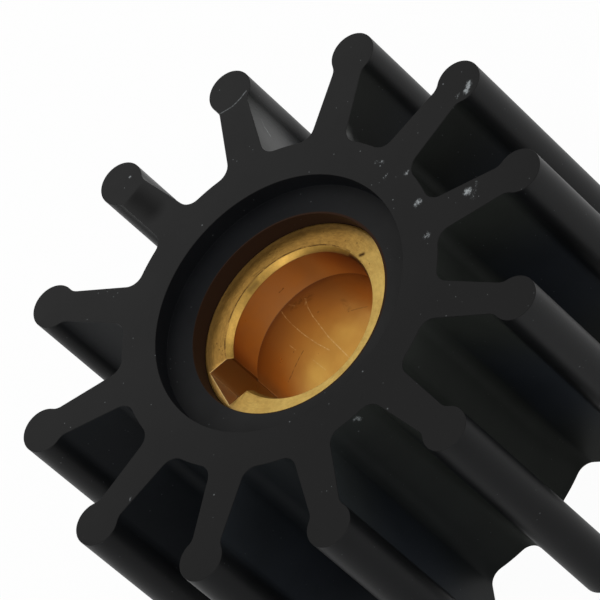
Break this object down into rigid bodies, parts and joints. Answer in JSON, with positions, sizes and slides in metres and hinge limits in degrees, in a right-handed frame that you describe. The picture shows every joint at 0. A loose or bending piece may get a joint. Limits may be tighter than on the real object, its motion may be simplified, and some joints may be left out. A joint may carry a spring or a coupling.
{
  "type": "flexible pump impeller",
  "caption": "Black rubber flexible pump impeller with straight beaded vanes round a thick hub, on a keyed brass shaft bush set back in the hub.",
  "frame": {"origin": "on the shaft axis, in the plane of the rear end face of the rubber, which the part stands on", "axes": "+Z along the shaft towards the recessed front end face; +X along the first vane; the keyway lies 75 degrees from +X towards +Y, midway between two vanes"},
  "size_m": [0.06, 0.06, 0.0305],
  "materials": {
    "rubber": "moulded black nitrile rubber, satin, with a faint bloom of dust",
    "brass": "turned on the face and shoulder, bored inside, unpolished"
  },
  "bodies": {
    "root": {"rubber_impeller": "rubber", "brass_bush": "brass"}
  },
  "joints": []
}
